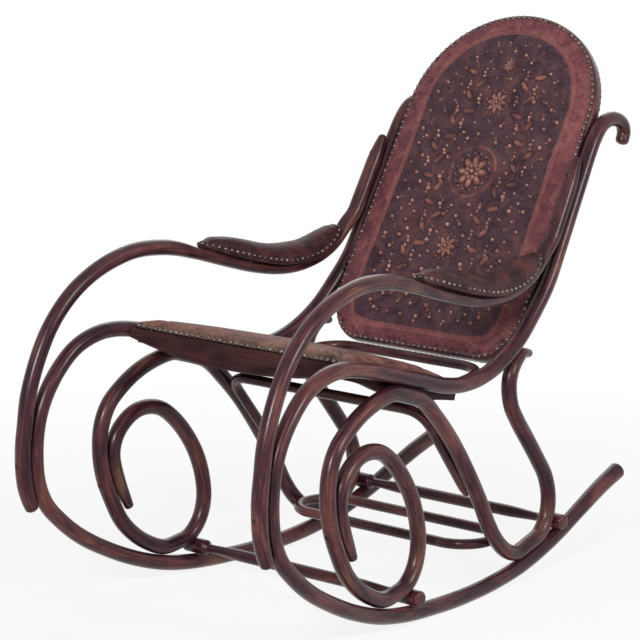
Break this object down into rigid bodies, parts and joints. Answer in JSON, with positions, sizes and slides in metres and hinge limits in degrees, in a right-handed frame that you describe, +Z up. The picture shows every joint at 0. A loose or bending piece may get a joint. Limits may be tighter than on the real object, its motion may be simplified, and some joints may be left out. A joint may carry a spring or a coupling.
{
  "type": "rocking chair",
  "caption": "Bentwood rocking chair: side frames of bent round rods with scrolls, nailed leather seat, round-topped leather back panel and padded arms.",
  "frame": {"origin": "on the floor, midway between the side frames, below the flattest stretch of the rockers", "axes": "+Z up, +Y towards the back of the chair, +X to the sitter's left"},
  "size_m": [0.61, 1.1655, 1.0428],
  "materials": {
    "wood": "dark reddish-brown polished lacquer",
    "dark_wood": "dark brown satin",
    "leather": "worn reddish-brown, pressed pattern",
    "dark_leather": "dark mottled brown",
    "raw_leather": "plain brown, matt"
  },
  "bodies": {
    "root": {"side_rail_left": "wood", "side_rail_right": "wood", "arm_rod_left": "wood", "arm_rod_right": "wood", "scroll_rod_left": "wood", "scroll_rod_right": "wood", "front_stretcher": "wood", "rear_stretcher": "wood", "ring_stretcher": "wood", "seat_brace": "wood", "seat_side_left": "dark_wood", "seat_side_right": "dark_wood", "seat_front_rail": "wood", "seat_rear_rail": "dark_wood", "seat_deck": "dark_wood", "seat_pad": "leather", "rear_bow": "wood", "back_rim": "wood", "back_leather_front": "leather", "back_leather_rear": "raw_leather", "arm_pad_base_left": "dark_wood", "arm_pad_left": "dark_leather", "arm_pad_base_right": "dark_wood", "arm_pad_right": "dark_leather"}
  },
  "joints": []
}
